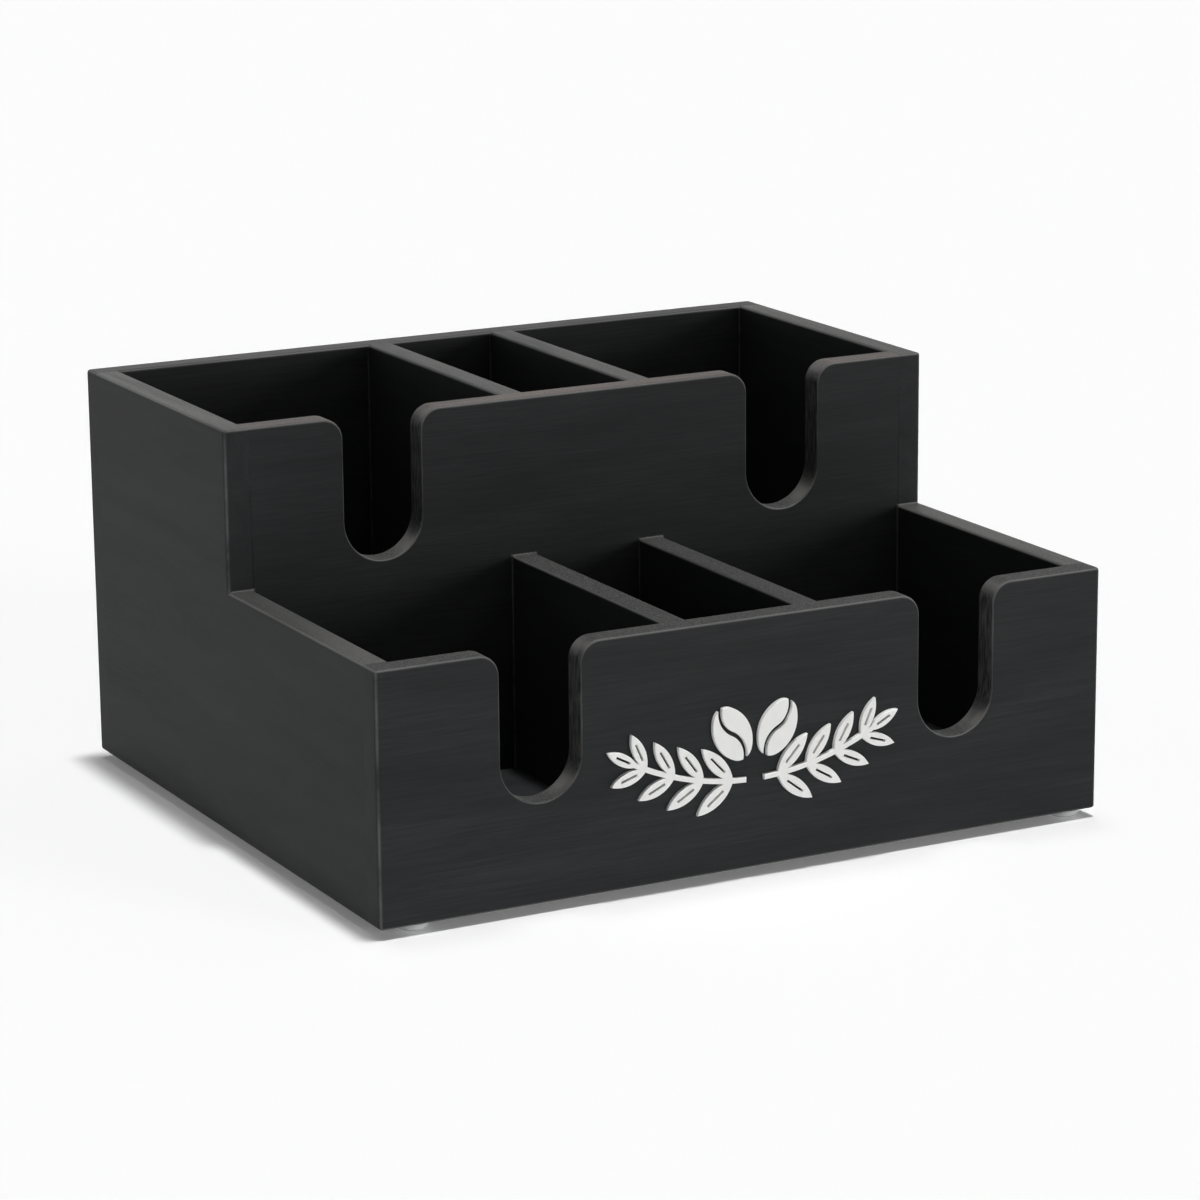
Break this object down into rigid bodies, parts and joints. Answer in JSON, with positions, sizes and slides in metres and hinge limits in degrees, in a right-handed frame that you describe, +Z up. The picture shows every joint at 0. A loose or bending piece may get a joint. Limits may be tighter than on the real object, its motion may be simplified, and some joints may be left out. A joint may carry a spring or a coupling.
{
  "type": "coffee station organizer",
  "caption": "Two-tier painted wooden caddy with open compartments, round-ended finger slots, clear stick-on feet and a white leaf ornament on its front.",
  "frame": {"origin": "middle of the whole footprint, ornament included, on the plane that the feet rest on", "axes": "+X to the right as seen from the front, +Y to the back, +Z up; the front panel faces -Y"},
  "size_m": [0.3, 0.2656, 0.1585],
  "materials": {
    "painted_wood": "semi-matt black paint over wood, with faint grain and eased edges",
    "brad_steel": "bright steel wire brads, out of sight",
    "clear_bumper": "clear soft polyurethane dome",
    "white_acrylic": "satin white cut-out with softened edges"
  },
  "bodies": {
    "root": {"left_side_panel": "painted_wood", "right_side_panel": "painted_wood", "back_panel": "painted_wood", "riser_panel": "painted_wood", "front_panel": "painted_wood", "base_panel": "painted_wood", "rear_left_divider": "painted_wood", "rear_right_divider": "painted_wood", "front_left_divider": "painted_wood", "front_right_divider": "painted_wood", "left_side_brads": "brad_steel", "right_side_brads": "brad_steel", "back_panel_brads": "brad_steel", "front_panel_brads": "brad_steel", "front_left_foot": "clear_bumper", "front_right_foot": "clear_bumper", "rear_left_foot": "clear_bumper", "rear_right_foot": "clear_bumper", "left_sprig": "white_acrylic", "right_sprig": "white_acrylic", "bean_pair": "white_acrylic"}
  },
  "joints": []
}
